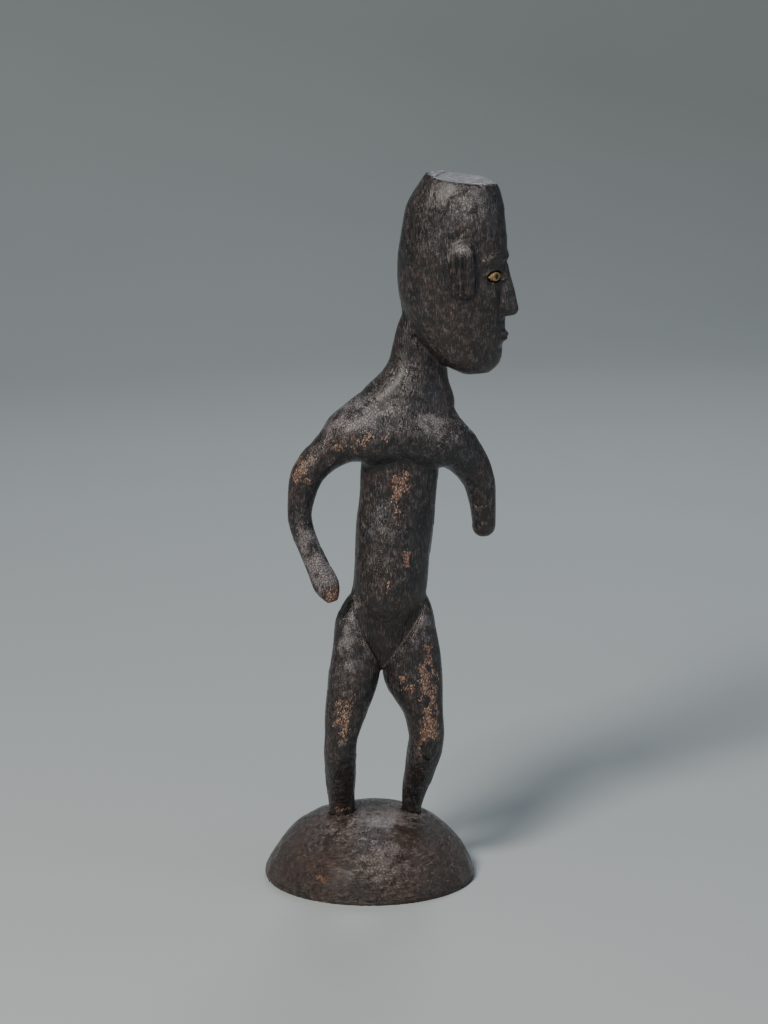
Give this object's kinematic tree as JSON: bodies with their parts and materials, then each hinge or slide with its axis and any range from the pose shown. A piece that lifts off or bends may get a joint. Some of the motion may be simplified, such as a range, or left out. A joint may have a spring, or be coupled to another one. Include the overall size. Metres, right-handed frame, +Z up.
{
  "type": "carved ancestor figure",
  "caption": "Standing ancestor figure in blackened wood with turned head and bent limbs, on a domed base.",
  "frame": {"origin": "middle of the domed base's flat underside", "axes": "+Z up, the body faces -Y, and +X is the figure's left"},
  "size_m": [0.1739, 0.149, 0.5025],
  "materials": {
    "blackened_wood": "satin",
    "base_wood": "satin",
    "peg_wood": "matte",
    "shell": "satin",
    "resin": "gloss"
  },
  "bodies": {
    "root": {"dome_base": "base_wood", "torso": "blackened_wood", "head": "blackened_wood", "right_arm": "blackened_wood", "left_arm": "blackened_wood", "right_hand": "blackened_wood", "left_hand": "blackened_wood", "right_leg": "blackened_wood", "left_leg": "blackened_wood", "right_eye": "shell", "left_eye": "shell", "right_pupil": "resin", "left_pupil": "resin", "neck_peg": "peg_wood", "right_shoulder_peg": "peg_wood", "left_shoulder_peg": "peg_wood", "right_wrist_peg": "peg_wood", "left_wrist_peg": "peg_wood", "right_hip_peg": "peg_wood", "left_hip_peg": "peg_wood"}
  },
  "joints": []
}
